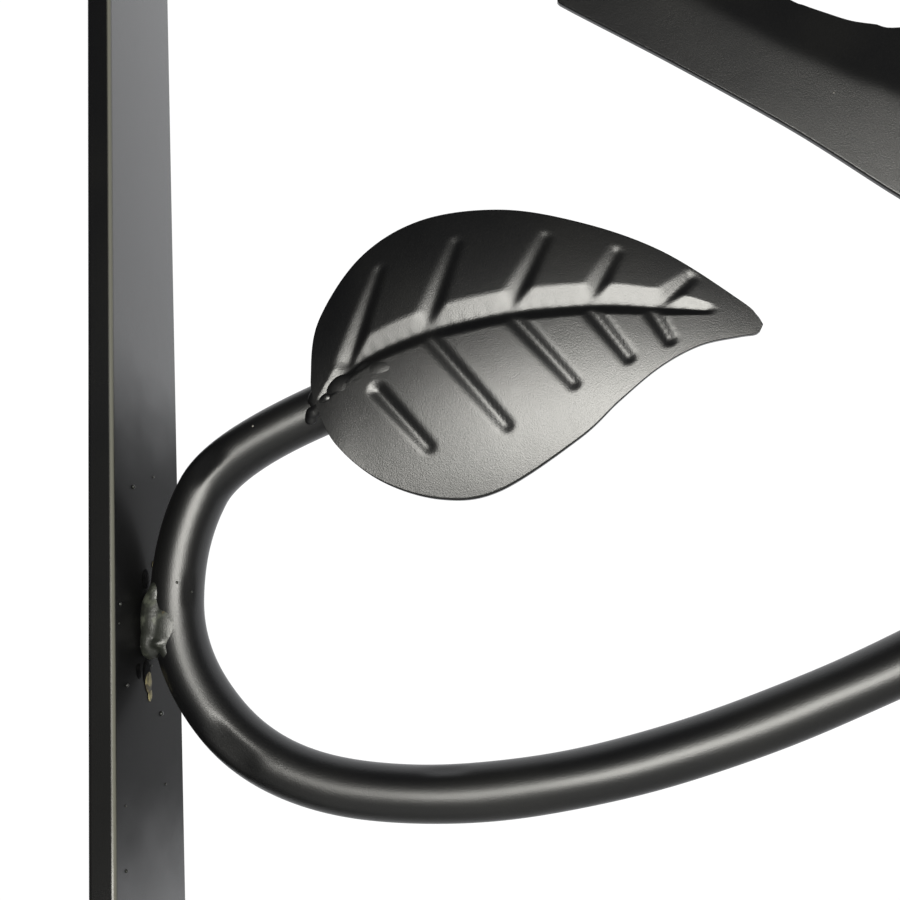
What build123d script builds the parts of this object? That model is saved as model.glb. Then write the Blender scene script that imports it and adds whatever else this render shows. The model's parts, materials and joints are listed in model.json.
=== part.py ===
from build123d import *

import os
from math import atan2, cos, hypot, radians, sin, sqrt, tan

# Garden trellis arch in flat bar and round rod, with pressed leaves and birds on its two side panels.
#
# Millimetres. The passage runs along Y, X is across it and Z is up. The origin is on the ground at the centre.
# Each side panel stands in the plane x = +-passage_half. Two flat-bar stiles, two rails and a waved vine stem
# carry hooked branches, and each branch ends under a pressed leaf. Two pairs of flat-bar half hoops and eight
# rungs make the arched top, which bolts to the stiles through fishplates.

# Overall sizes
passage_half = 600.0  # from the centre to the middle of a side panel
panel_depth = 450.0  # over the outer faces of the front and rear stiles
leg_height = 1700.0  # from the ground to the springing of the hoops

# Stock
bar_width = 30.0
bar_thickness = 5.0
bar_edge_radius = 0.8
branch_diameter = 10.0
stem_diameter = 12.0
rung_diameter = 10.0
sheet_thickness = 1.2

# Feet
foot_length = 90.0
foot_width = 50.0
foot_thickness = 5.0
foot_hole_spacing = 60.0
foot_hole_diameter = 9.0

# Side panel layout
bottom_rail_height = 150.0  # underside of the bottom rail above the ground
top_rail_drop = 60.0  # from the springing down to the underside of the top rail
branch_count = 6
first_contact_share = 0.63  # first branch contact above the bottom rail, in branch pitches
end_pitches = 0.45  # panel height left over after the branches, in branch pitches
wave_height = 40.0  # how far the stem swings either side of the panel's middle
weld_gap = 0.2  # between a rod and the bar that it is welded to

# Hook of a branch: corners of its bending line, from the middle of the rod where it touches the stile.
# The first is the end under the leaf. Distances are away from the stile and up.
hook_corners = [
    (41.0, 42.2), (11.4, 31.5), (0.0, 15.9), (0.0, -7.5), (17.2, -30.1), (53.7, -34.9), (97.0, -29.3),
]
reach_shares = [(0.46, 0.22), (0.75, 0.47)]  # corners between the hook and the stem: share along, share up
junction_rise = 56.0  # of the branch's end on the stem above its contact with the stile
bend_share = 0.47  # of the shorter run beside a corner that its bend may take

# Leaf outline from its base, along the leaf and up, and the dome that it is pressed to
leaf_upper = [
    (0.0, 0.0), (-0.3, 9.0), (4.8, 21.8), (13.5, 30.2), (26.0, 34.3), (41.5, 32.8), (56.5, 27.2), (70.0, 18.8),
]
leaf_tip = (83.0, 5.2)
leaf_lower = [
    (71.5, 2.6), (64.3, -0.4), (56.5, -6.0), (45.0, -14.8), (34.5, -20.1), (25.5, -20.9), (14.5, -18.0),
]
leaf_base_lower = (5.8, -10.4)
leaf_base = (30.5, 38.6)  # the leaf's base from the contact point, along and up
leaf_dome_radius = 160.0
leaf_dome_centre = (40.0, 7.0)  # from the leaf's base

# Bird outline from the branch's end on the stem, along the panel and up, and the dome of its breast
bird_tail = [(-117.0, 75.0), (-131.3, 58.0)]
bird_belly = [
    (-74.0, 7.6), (-67.0, 2.8), (-51.0, -7.5), (-28.0, -14.5), (-5.0, -10.0), (13.5, 4.0), (19.0, 22.0),
]
bird_throat = (14.5, 39.0)
bird_beak = (33.0, 46.0)
bird_head = [(15.0, 52.0), (2.0, 61.0), (-14.0, 58.0), (-30.5, 48.5), (-49.0, 42.5), (-68.5, 42.3)]
bird_rump = (-90.0, 52.2)
bird_centre = (-23.0, 19.0)
bird_weld = (5.0, 7.0)
bird_dome_width = 50.0
bird_dome_height = 9.0
bird_branches = (1, 4)  # which branches, counted from 0 at the bottom, have a bird above them

# Hoops, rungs and bolted joints
rung_count = 8
plate_width = 24.0
plate_thickness = 4.0
plate_length = 100.0
bolt_offsets = (-38.0, -14.0, 14.0, 38.0)  # from the joint line, along the bar
bolt_diameter = 6.0
bolt_clearance = 0.6  # of a bolt hole over its bolt
bolt_head_diameter = 12.0
bolt_head_height = 3.3
bolt_head_round = 2.0
bolt_tip = 2.0  # of the bolt beyond its nut
nut_across_flats = 10.0
nut_height = 5.0
washer_diameter = 12.0
washer_thickness = 1.6

# Weld beads
bead_length = 15.0
bead_width = 6.0
leaf_bead_length = 9.0
leaf_bead_inset = 1.0  # of the bead's edge from the leaf's base
fillet_leg = 3.0  # of the beads round the ends of the rods and under the ends of the rails

# Worked out from the sizes above
bolt_hole_diameter = bolt_diameter + bolt_clearance
drill_reach = 4 * bar_thickness  # of a drilled hole either side of the place that it is aimed at
branch_radius = branch_diameter / 2
stem_radius = stem_diameter / 2
stile_face = -panel_depth / 2 + bar_thickness  # inner face of a front stile
panel_inside = -2 * stile_face
panel_middle = panel_inside / 2  # from a stile's inner face
bottom_rail_top = bottom_rail_height + bar_thickness
top_rail_height = leg_height - top_rail_drop
branch_pitch = (top_rail_height - bottom_rail_top) / (branch_count + end_pitches)
contact_heights = [bottom_rail_top + (first_contact_share + i) * branch_pitch for i in range(branch_count)]
contact_reach = branch_radius + weld_gap  # from the stile's face to the middle of the rod
plate_inner_face = stile_face + plate_thickness
mid_side = (Align.CENTER, Align.CENTER, Align.MIN)


def panel_plane(height, off_plane=0.0):
    """Drawing plane of the left panel: x runs from the front stile's inner face, y runs up from height."""
    return Plane(origin=(-passage_half + off_plane, stile_face, height), x_dir=(0, 1, 0), z_dir=(1, 0, 0))


def bar_along_z(x, y_low, z_low, z_high):
    """Flat bar standing on end, its wide side along X, with eased edges."""
    size = (bar_width, bar_thickness, z_high - z_low)
    bar = Pos(x, y_low + bar_thickness / 2, z_low) * Box(*size, align=mid_side)
    return fillet(bar.edges().filter_by(Axis.Z), bar_edge_radius)


def bend_radii(points):
    """Largest bend at each corner that leaves both of its runs some straight."""
    radii = []
    for before, corner, after in zip(points, points[1:], points[2:]):
        run_in = (corner[0] - before[0], corner[1] - before[1])
        run_out = (after[0] - corner[0], after[1] - corner[1])
        across = run_in[0] * run_out[1] - run_in[1] * run_out[0]
        onward = run_in[0] * run_out[0] + run_in[1] * run_out[1]
        turn = abs(atan2(across, onward))
        radii.append(bend_share * min(hypot(*run_in), hypot(*run_out)) / tan(turn / 2))
    return radii


def rod_along(path, radius):
    """Round rod that follows a path."""
    return sweep(Plane(origin=path @ 0, z_dir=path % 0) * Circle(radius), path=path)


def branch_corners():
    """Corners of a branch's bending line from the stile's face, ending at the middle of the stem."""
    hook = [(contact_reach + away, up) for away, up in hook_corners]
    last = hook[-1]
    end = (panel_middle, junction_rise)
    reach = [(last[0] + a * (end[0] - last[0]), last[1] + u * (end[1] - last[1])) for a, u in reach_shares]
    return hook + reach + [end]


def vine_stem():
    """Waved stem of the left panel, trimmed to stand between the rails."""
    side = -1
    height = contact_heights[0] + junction_rise - branch_pitch
    arcs = []
    while height < top_rail_height:
        arcs.append(ThreePointArc(
            (panel_middle, height),
            (panel_middle + side * wave_height, height + branch_pitch / 2),
            (panel_middle, height + branch_pitch),
        ))
        side = -side
        height += branch_pitch
    path = panel_plane(0.0) * Wire([arc.edge() for arc in arcs])
    between_rails = Pos(-passage_half, 0, bottom_rail_top) * Box(
        bar_width, panel_inside, top_rail_height - bottom_rail_top, align=mid_side
    )
    return rod_along(path, stem_radius) & between_rails


def branch(height, stem):
    """Hooked branch on the front stile of the left panel, coped against the stem."""
    corners = branch_corners()
    path = panel_plane(height) * FilletPolyline(*corners, radius=bend_radii(corners))
    pieces = (rod_along(path, branch_radius) - stem).solids()
    return pieces.sort_by(SortBy.VOLUME)[-1]


def leaf_lift(along, up):
    """Height of a leaf's hollow side over its dome's crown, below zero, at a point from the leaf's base."""
    off_centre = hypot(along - leaf_dome_centre[0], up - leaf_dome_centre[1])
    hollow_radius = leaf_dome_radius - sheet_thickness
    return sqrt(hollow_radius**2 - off_centre**2) - hollow_radius


def leaf_crown():
    """Distance of the hollow side's crown off the panel's plane: the base then lies on the branch."""
    return branch_radius + weld_gap - leaf_lift(0.0, 0.0)


def leaf(height):
    """Pressed leaf on a branch of the left panel's front side: a domed sheet cut to its outline."""
    edge = [
        Spline(*leaf_upper, leaf_tip),
        Spline(leaf_tip, *leaf_lower, leaf_base_lower, leaf_upper[0]),
    ]
    blank = make_face(Wire(edge).edges())
    base_plane = panel_plane(height + leaf_base[1])
    at_base = base_plane * Pos(contact_reach + leaf_base[0], 0, 0)
    prism = at_base * extrude(blank, amount=2 * leaf_dome_radius)
    crown = leaf_crown()
    ball_place = at_base * Pos(*leaf_dome_centre, crown - (leaf_dome_radius - sheet_thickness))
    shell = ball_place * (Sphere(leaf_dome_radius) - Sphere(leaf_dome_radius - sheet_thickness))
    return (shell & prism).solids().sort_by(SortBy.VOLUME)[-1]


def bird(height):
    """Pressed bird on the front of the stem of the left panel: a flat sheet with a domed breast."""
    edge = [
        Line(*bird_tail),
        Line(bird_tail[-1], bird_belly[0]),
        Spline(*bird_belly, bird_throat),
        Line(bird_throat, bird_beak),
        Line(bird_beak, bird_head[0]),
        Spline(*bird_head, bird_rump),
        Line(bird_rump, bird_tail[0]),
    ]
    blank = make_face(Wire(edge).edges())
    plane = panel_plane(height + junction_rise, stem_radius + weld_gap) * Pos(panel_middle, 0, 0)
    foot = bird_dome_width / 2
    ball_radius = (foot**2 + bird_dome_height**2) / (2 * bird_dome_height)
    ball_centre = Pos(*bird_centre, bird_dome_height - ball_radius)
    above = Pos(*bird_centre, 0) * Cylinder(foot, 2 * bird_dome_height, align=mid_side)
    breast = (ball_centre * Sphere(ball_radius)) & above
    hollow = ball_centre * Sphere(ball_radius - sheet_thickness)
    return plane * (extrude(blank, amount=sheet_thickness) + breast - hollow)


def stile_bead(height, rod):
    """Weld bead between a stile of the left panel and the branch that touches it."""
    slab = Box(contact_reach, bead_length, bead_width, align=(Align.MIN, Align.CENTER, Align.CENTER))
    return (panel_plane(height) * slab - rod).solids().sort_by(SortBy.VOLUME)[-1]


def leaf_bead(height, rod, pressed_leaf):
    """Weld bead between a branch and the hollow side of its leaf, just inside the leaf's base."""
    middle = (leaf_bead_length / 2 + leaf_bead_inset, leaf_bead_inset)
    top = leaf_crown() + leaf_lift(*middle) + sheet_thickness / 4
    slab = Box(leaf_bead_length, bead_width, top, align=mid_side)
    place = Pos(contact_reach + leaf_base[0] + middle[0], leaf_base[1] + middle[1], 0)
    return (panel_plane(height) * place * slab - rod - pressed_leaf).solids().sort_by(SortBy.VOLUME)[-1]


def bird_bead(height, rods, pressed_bird):
    """Weld bead between the stem and the back of a bird."""
    place = Pos(panel_middle + bird_weld[0], junction_rise + bird_weld[1], 0)
    slab = Box(bead_width, bead_width, stem_radius + weld_gap, align=mid_side)
    block = panel_plane(height) * place * slab
    for solid in (*rods, pressed_bird):
        block = block - solid
    return block.solids().sort_by(SortBy.VOLUME)[-1]


def ring_bead(radius):
    """Fillet bead round the end of a rod that stands on the XY plane."""
    return Cone(radius + fillet_leg, radius, fillet_leg, align=mid_side) - Cylinder(radius, 3 * fillet_leg)


def rail_bead(height):
    """Fillet bead under the front end of a rail of the left panel whose underside is at height."""
    corner = Plane(origin=(-passage_half, stile_face, height), x_dir=(0, 1, 0), z_dir=(1, 0, 0))
    section = make_face(Polyline((0, 0), (fillet_leg, 0), (0, -fillet_leg), close=True))
    return corner * extrude(section, amount=bar_width / 2 - fillet_leg, both=True)


def stem_beads(stem):
    """Fillet beads round the two ends of the left panel's stem."""
    ends = stem.faces().sort_by(Axis.Z)
    foot, head = ends[0].center(), ends[-1].center()
    ring = ring_bead(stem_radius)
    return [Pos(foot) * ring - stem, Pos(head) * Rot(180, 0, 0) * ring - stem]


def half_hoop(y_low):
    """Left half of a hoop, from the springing to the crown, with its bolt holes."""
    outer = passage_half + bar_width / 2
    inner = passage_half - bar_width / 2
    face = Plane(origin=(0, y_low + bar_thickness, leg_height), x_dir=(1, 0, 0), z_dir=(0, -1, 0))
    ring = Circle(outer) - Circle(inner)
    quarter = ring & Rectangle(outer, outer, align=(Align.MAX, Align.MIN))
    return face * extrude(quarter, amount=bar_thickness)


def bolt_places(y):
    """Points at height and side where bolts pass, on the left side: springing then left half of the crown."""
    springing = [Location((-passage_half, y, leg_height + offset)) for offset in bolt_offsets]
    crown = [Location((offset, y, leg_height + passage_half)) for offset in bolt_offsets if offset < 0]
    return springing, crown


def along_y(radius, length):
    """Cylinder from the origin along +Y."""
    return Rot(-90, 0, 0) * Cylinder(radius, length, align=mid_side)


def drilled(solid, places):
    """A bar or plate with a clearance hole at each bolt place."""
    hole = Pos(0, -drill_reach, 0) * along_y(bolt_hole_diameter / 2, 2 * drill_reach)
    for place in places:
        solid = solid - place * hole
    return solid


def fishplate(x, z, upright):
    """Flat plate on the inner face of a front bar, across a joint."""
    wide, tall = (plate_width, plate_length) if upright else (plate_length, plate_width)
    return Pos(x, stile_face + plate_thickness / 2, z) * Box(wide, plate_thickness, tall)


def bolt():
    """Round-head bolt along +Y, its head on the outer face of a front bar at y = 0."""
    shank = bar_thickness + plate_thickness + washer_thickness + nut_height + bolt_tip
    blank = Pos(0, -bolt_head_height, 0) * along_y(bolt_head_diameter / 2, bolt_head_height)
    head = fillet(blank.edges().sort_by(Axis.Y)[0], bolt_head_round)
    return head + along_y(bolt_diameter / 2, shank)


def washer():
    """Plain washer against the inner face of a fishplate, for a bolt at y = 0."""
    y = bar_thickness + plate_thickness
    ring = along_y(washer_diameter / 2, washer_thickness) - along_y(bolt_hole_diameter / 2, washer_thickness)
    return Pos(0, y, 0) * ring


def nut():
    """Hexagon nut on the washer, for a bolt at y = 0."""
    y = bar_thickness + plate_thickness + washer_thickness
    hexagon = RegularPolygon(nut_across_flats / 2, 6, major_radius=False)
    blank = Rot(-90, 0, 0) * extrude(hexagon, amount=nut_height)
    return Pos(0, y, 0) * (blank - along_y(bolt_diameter / 2, nut_height))


def foot_plate():
    """Foot plate of the left front stile, with a fixing hole either side of the bar."""
    plate = Box(foot_length, foot_width, foot_thickness, align=mid_side)
    plate = fillet(plate.edges().filter_by(Axis.Z), foot_thickness)
    for side in (-1, 1):
        hole = Cylinder(foot_hole_diameter / 2, 3 * foot_thickness)
        plate = plate - Pos(side * foot_hole_spacing / 2, 0, 0) * hole
    return Pos(-passage_half, stile_face - bar_thickness / 2, 0) * plate


def as_made(shape):
    """The shape where it was made, at the front."""
    return shape


def to_rear(shape):
    """Mirror image at the rear of the arch."""
    return mirror(shape, about=Plane.XZ)


def to_right(shape):
    """Mirror image on the right of the arch."""
    return mirror(shape, about=Plane.YZ)


def on_both_sides(nodes, name, shape):
    """Adds a left node and its mirror image on the right."""
    nodes["left_" + name] = shape
    nodes["right_" + name] = to_right(shape)


def group(shapes):
    """Separate solids that share one node."""
    return Compound(children=[solid for shape in shapes for solid in shape.solids()])


def side_panels(nodes):
    """Stiles, rails, stem, branches, leaves, birds and weld beads of both sides."""
    springing, _ = bolt_places(0.0)
    front = bar_along_z(-passage_half, stile_face - bar_thickness, foot_thickness, leg_height)
    front = drilled(front, [Pos(0, stile_face, 0) * place for place in springing])
    on_both_sides(nodes, "front_stile", front)
    on_both_sides(nodes, "rear_stile", to_rear(front))
    for name, height in (("bottom_rail", bottom_rail_height), ("top_rail", top_rail_height)):
        rail = Pos(-passage_half, 0, height) * Box(bar_width, panel_inside, bar_thickness, align=mid_side)
        on_both_sides(nodes, name, fillet(rail.edges().filter_by(Axis.Y), bar_edge_radius))
    stem = vine_stem()
    on_both_sides(nodes, "vine_stem", stem)
    beads = stem_beads(stem)
    for height in (bottom_rail_height, top_rail_height):
        beads += [rail_bead(height), to_rear(rail_bead(height))]
    for index, height in enumerate(contact_heights):
        place = to_rear if index % 2 else as_made
        local_stem = place(stem)
        rod = branch(height, local_stem)
        pressed_leaf = leaf(height)
        number = index + 1
        on_both_sides(nodes, f"branch_{number}", place(rod))
        on_both_sides(nodes, f"leaf_{number}", place(pressed_leaf))
        beads += [place(stile_bead(height, rod)), place(leaf_bead(height, rod, pressed_leaf))]
        if index in bird_branches:
            pressed_bird = bird(height)
            level = "lower" if index == bird_branches[0] else "upper"
            on_both_sides(nodes, f"{level}_bird", place(pressed_bird))
            beads.append(place(bird_bead(height, (rod, local_stem), pressed_bird)))
    on_both_sides(nodes, "weld_beads", group(beads))


def arched_top(nodes):
    """Half hoops, rungs and fishplates."""
    springing, crown = bolt_places(stile_face)
    front = drilled(half_hoop(stile_face - bar_thickness), springing + crown)
    for name, hoop in (("front", front), ("rear", to_rear(front))):
        nodes[f"{name}_hoop_left"] = hoop
        nodes[f"{name}_hoop_right"] = to_right(hoop)
    beads = []
    for index in range(rung_count):
        angle = radians(180.0 * (index + 0.5) / rung_count)
        rod = along_y(rung_diameter / 2, panel_inside)
        place = Pos(-passage_half * cos(angle), stile_face, leg_height + passage_half * sin(angle))
        bead = place * Rot(-90, 0, 0) * ring_bead(rung_diameter / 2)
        nodes[f"rung_{index + 1}"] = place * rod
        beads += [bead, to_rear(bead)]
    nodes["rung_weld_beads"] = group(beads)
    side_plate = drilled(fishplate(-passage_half, leg_height, True), springing)
    all_crown = crown + [Location((-place.position.X, place.position.Y, place.position.Z)) for place in crown]
    top_plate = drilled(fishplate(0.0, leg_height + passage_half, False), all_crown)
    corners = [side_plate, to_rear(side_plate)]
    nodes["springing_plates"] = group(corners + [to_right(plate) for plate in corners])
    nodes["crown_plates"] = group([top_plate, to_rear(top_plate)])


def fastenings(nodes):
    """Bolts, washers and nuts of the six bolted joints, and the four foot plates."""
    springing, crown = bolt_places(stile_face - bar_thickness)
    for name, make in (("joint_bolts", bolt), ("joint_washers", washer), ("joint_nuts", nut)):
        left_front = [place * make() for place in springing + crown]
        left = left_front + [to_rear(piece) for piece in left_front]
        nodes[name] = group(left + [to_right(piece) for piece in left])
    foot = foot_plate()
    feet = [foot, to_rear(foot)]
    nodes["foot_plates"] = group(feet + [to_right(piece) for piece in feet])


def main():
    """Builds every node and writes it to parts/NODE.step."""
    nodes = {}
    side_panels(nodes)
    arched_top(nodes)
    fastenings(nodes)
    os.makedirs("parts", exist_ok=True)
    for name, shape in nodes.items():
        export_step(shape, f"parts/{name}.step")


main()
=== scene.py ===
"""Looks of the garden trellis arch: powder-coated bar and rod, pressed leaves and birds, and weld beads."""
import json
import logging
import math
from dataclasses import dataclass, field
from enum import Enum
from typing import Any, Callable, Iterable, Sequence

import bmesh
import bpy
import numpy as np
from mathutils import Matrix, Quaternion, Vector


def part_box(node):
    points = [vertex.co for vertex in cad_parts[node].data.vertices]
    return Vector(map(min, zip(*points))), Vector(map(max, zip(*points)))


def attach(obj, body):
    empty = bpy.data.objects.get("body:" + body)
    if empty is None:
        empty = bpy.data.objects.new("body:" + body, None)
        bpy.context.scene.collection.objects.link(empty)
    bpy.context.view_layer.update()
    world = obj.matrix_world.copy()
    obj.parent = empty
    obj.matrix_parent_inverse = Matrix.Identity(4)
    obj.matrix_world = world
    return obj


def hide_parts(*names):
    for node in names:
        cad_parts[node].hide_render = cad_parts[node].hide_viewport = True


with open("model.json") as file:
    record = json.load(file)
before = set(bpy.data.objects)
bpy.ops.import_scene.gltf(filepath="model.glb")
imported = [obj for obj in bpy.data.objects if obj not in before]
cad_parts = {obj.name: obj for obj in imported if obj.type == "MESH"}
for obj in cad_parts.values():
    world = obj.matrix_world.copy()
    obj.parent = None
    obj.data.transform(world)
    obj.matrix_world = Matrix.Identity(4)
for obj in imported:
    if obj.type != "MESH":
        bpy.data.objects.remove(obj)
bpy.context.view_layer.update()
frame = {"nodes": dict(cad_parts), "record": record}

MM = 0.001
BIRD_LEVELS = {2: "lower", 5: "upper"}
log = logging.getLogger("arch")
Point = tuple[float, float]
Point3 = tuple[float, float, float]
Colour = tuple[float, float, float]
Four = tuple[float, float, float, float]


# ---------- Shader recipes ----------

@dataclass(frozen=True)
class Signal:
    """An output in a node tree, usable in sums: each operator adds the Math or Vector Math node it needs."""

    recipe: "Recipe"
    socket: bpy.types.NodeSocket

    def _join(self, operation: str, first: Any, second: Any) -> "Signal":
        """Adds one maths node; a plain number beside a vector becomes one.

        Args:
            operation: Name of the operation, the same for numbers and vectors.
            first: Signal or number on the left.
            second: Signal or number on the right.

        Returns:
            The node's output.
        """
        wide = self.socket.type in ("VECTOR", "RGBA")
        values = [(v, v, v) if wide and isinstance(v, (int, float)) else v for v in (first, second)]
        kind = "ShaderNodeVectorMath" if wide else "ShaderNodeMath"
        node = self.recipe.node(kind, {"operation": operation}, dict(enumerate(values)))
        return Signal(self.recipe, node.outputs[0])

    def __add__(self, other: Any) -> "Signal":
        """Self + other, or other + self."""
        return self._join("ADD", self, other)

    def __sub__(self, other: Any) -> "Signal":
        """Self - other."""
        return self._join("SUBTRACT", self, other)

    def __rsub__(self, other: Any) -> "Signal":
        """Other - self."""
        return self._join("SUBTRACT", other, self)

    def __mul__(self, other: Any) -> "Signal":
        """Self * other, or other * self."""
        return self._join("MULTIPLY", self, other)

    __radd__ = __add__
    __rmul__ = __mul__

    def step(self, low: float, high: float) -> "Signal":
        """Smooth step of a number.

        Args:
            low: Value that gives 0.
            high: Value that gives 1; it may be below low.

        Returns:
            A signal from 0 to 1.
        """
        inputs = {"Value": self, "From Min": low, "From Max": high}
        node = self.recipe.node("ShaderNodeMapRange", {"interpolation_type": "SMOOTHSTEP"}, inputs)
        return Signal(self.recipe, node.outputs[0])


class Recipe:
    """The node tree of a material or of the world, while it is being written."""

    def __init__(self, owner: bpy.types.ID) -> None:
        """Starts with an empty tree.

        Args:
            owner: The material or world that the tree belongs to.
        """
        owner.use_nodes = True
        self.owner = owner
        self.tree = owner.node_tree
        self.tree.nodes.clear()

    def node(self, kind: str, settings: dict[str, Any], inputs: dict[Any, Any]) -> bpy.types.Node:
        """Adds any node.

        Args:
            kind: The node's type.
            settings: Properties, which are set first.
            inputs: Socket names or numbers with their values or signals.

        Returns:
            The node.
        """
        node = self.tree.nodes.new(kind)
        for key, value in settings.items():
            setattr(node, key, value)
        for key, value in inputs.items():
            if isinstance(value, Signal):
                self.tree.links.new(value.socket, node.inputs[key])
            else:
                node.inputs[key].default_value = value
        return node

    def output(self, node: bpy.types.Node, name: Any = 0) -> Signal:
        """An output of a node as a signal."""
        return Signal(self, node.outputs[name])

    def maths(self, operation: str, *values: Any) -> Signal:
        """The result of a Math node."""
        return self.output(self.node("ShaderNodeMath", {"operation": operation}, dict(enumerate(values))))

    def axes(self, place: Signal) -> list[Signal]:
        """X, Y and Z of a place."""
        split = self.node("ShaderNodeSeparateXYZ", {}, {0: place})
        return [self.output(split, axis) for axis in range(3)]

    def place(self) -> Signal:
        """The surface's place in the arch's frame, in metres."""
        return self.output(self.node("ShaderNodeTexCoord", {}, {}), "Object")

    def noise(self, place: Signal, scale: float, detail: float = 2.0, rough: float = 0.5) -> Signal:
        """Cloudy noise from 0 to 1.

        Args:
            place: Where it is read.
            scale: Lumps per metre.
            detail: Finer octaves.
            rough: Strength of each finer octave.

        Returns:
            The noise value.
        """
        inputs = {"Vector": place, "Scale": scale, "Detail": detail, "Roughness": rough}
        return self.output(self.node("ShaderNodeTexNoise", {}, inputs))

    def specks(self, place: Signal, scale: float, radius: float, share: float) -> Signal:
        """Scattered round specks.

        Args:
            place: Where they are read.
            scale: Cells per metre.
            radius: Speck radius, as a share of a cell.
            share: How many of the cells hold one.

        Returns:
            1 in a speck and 0 elsewhere.
        """
        cells = self.node("ShaderNodeTexVoronoi", {}, {"Vector": place, "Scale": scale})
        close = self.output(cells, "Distance").step(radius, radius * 0.5)
        pick = self.node("ShaderNodeSeparateColor", {}, {"Color": self.output(cells, "Color")})
        chosen = self.output(pick, 0).step(1.0 - share, 1.0 - share * 0.9)
        return close * chosen

    def mix(self, factor: Any, first: Any, second: Any) -> Signal:
        """Blends two colours.

        Args:
            factor: 0 gives first and 1 gives second.
            first: Colour or signal.
            second: Colour or signal.

        Returns:
            The blended colour.
        """
        colours = [(*value, 1.0) if isinstance(value, tuple) else value for value in (first, second)]
        inputs = {0: factor, 6: colours[0], 7: colours[1]}
        return self.output(self.node("ShaderNodeMix", {"data_type": "RGBA"}, inputs), 2)

    def bump(self, height: Signal, distance: float) -> Signal:
        """Normal of a surface that height raises by up to distance, in metres."""
        return self.output(self.node("ShaderNodeBump", {}, {"Height": height, "Distance": distance}))

    def finish(self, inputs: dict[str, Any]) -> bpy.types.Material:
        """Closes the tree with a Principled shader.

        Args:
            inputs: The shader's sockets.

        Returns:
            The material.
        """
        shader = self.node("ShaderNodeBsdfPrincipled", {}, inputs)
        self.node("ShaderNodeOutputMaterial", {}, {"Surface": self.output(shader)})
        return self.owner


# ---------- Finishes ----------

class Slot(Enum):
    """Material slots of the record."""

    BAR = "flat_bar"
    ROD = "round_rod"
    SHEET = "pressed_sheet"
    WELD = "weld_bead"
    FASTENER = "fastener"


@dataclass(frozen=True)
class ScorchAndHighlight:
    """Gloss lost to the welding heat about each contact, and a painted highlight along a stile's corners."""

    first: float
    pitch: float
    full: float = 0.026
    faded: float = 0.057
    gloss_roughness: float = 0.23
    bar_top: float = 1.7
    bar_middle: Point = (0.6, 0.2225)
    bar_half: Point = (0.015, 0.0025)
    # The stiles' inner corners take a lighter colour, a painted highlight standing in for the reflection on
    # their rounded edges: its width and colour.
    highlight_width: float = 0.0008
    corner_highlight: Colour = (0.085, 0.084, 0.070)

    def corners(self, recipe: Recipe, place: Signal) -> Signal:
        """Where the painted highlight lies, along the two inner corners of each stile.

        Args:
            recipe: The material being written.
            place: The surface's place.

        Returns:
            1 along a corner and 0 elsewhere.
        """
        x, y, z = recipe.axes(place)
        across = recipe.maths("ABSOLUTE", self.bar_middle[0] - recipe.maths("ABSOLUTE", x))
        inward = self.bar_middle[1] - recipe.maths("ABSOLUTE", y)
        found = z.step(self.bar_top + 0.0005, self.bar_top)
        for gap, half in zip((across, inward), self.bar_half):
            found = found * gap.step(half - self.highlight_width, half - 0.0003)
        return found

    def inputs(self, recipe: Recipe, place: Signal, rough: Signal) -> dict[str, Any]:
        """Shader sockets of a coat whose gloss is a layer of its own.

        Args:
            recipe: The material being written.
            place: The surface's place.
            rough: The coat's roughness elsewhere.

        Returns:
            Socket names with their values.
        """
        _, y, z = recipe.axes(place)
        above = z - self.first - y.step(-0.001, 0.001) * self.pitch
        far = recipe.maths("PINGPONG", above, self.pitch)
        ragged = far + 0.012 * recipe.noise(place, 90.0, 3.0) - 0.006
        dull = ragged.step(self.faded, self.full)
        return {
            "Roughness": rough + 0.22 * dull + 0.16,
            "Specular IOR Level": 0.07,
            "Coat Weight": 0.86 - 0.72 * dull,
            "Coat Roughness": self.gloss_roughness,
            "Coat IOR": 1.5,
        }


@dataclass(frozen=True)
class PowderCoat:
    """Black powder coat, sprayed and baked, with its orange peel, grain and caught dust."""

    name: str
    colour: Colour = (0.0014, 0.0015, 0.0019)
    dusty: Colour = (0.0038, 0.0038, 0.0035)
    roughness: float = 0.36
    peel_per_metre: float = 380.0
    peel_depth: float = 0.000012
    grain_depth: float = 0.000026
    relief: float = 0.0001
    speck_share: float = 0.05
    speck: Colour = (0.16, 0.155, 0.14)
    pit: Colour = (0.003, 0.003, 0.003)
    scorch_and_highlight: ScorchAndHighlight | None = None

    def material(self) -> bpy.types.Material:
        """Writes the coat as a material."""
        recipe = Recipe(bpy.data.materials.new(self.name))
        place = recipe.place()
        cloud = recipe.noise(place, 38.0, 3.0)
        peel = recipe.noise(place, self.peel_per_metre, 1.0)
        grain = recipe.noise(place, 3600.0, 2.0, 0.6)
        dust = recipe.specks(place, 210.0, 0.055, self.speck_share)
        pits = recipe.specks(place * 1.37, 130.0, 0.06, self.speck_share * 0.5)
        haze = cloud.step(0.35, 0.75) * 0.6 + grain.step(0.45, 0.8) * 0.4
        colour = recipe.mix(haze, self.colour, self.dusty)
        colour = recipe.mix(dust, colour, self.speck)
        colour = recipe.mix(pits, colour, self.pit)
        rough = self.roughness + 0.07 * cloud + 0.08 * grain - 0.03
        height = peel * (self.peel_depth / self.relief) + grain * (self.grain_depth / self.relief)
        height = height + dust * 0.9 - pits * 1.2
        inputs = {
            "Base Color": colour,
            "Roughness": rough,
            "IOR": 1.5,
            "Normal": recipe.bump(height, self.relief),
        }
        if self.scorch_and_highlight:
            inputs.update(self.scorch_and_highlight.inputs(recipe, place, rough))
            # Painted highlight: the stiles' inner corners take a lighter colour.
            inputs["Base Color"] = recipe.mix(self.scorch_and_highlight.corners(recipe, place), colour, self.scorch_and_highlight.corner_highlight)
        return recipe.finish(inputs)


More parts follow.
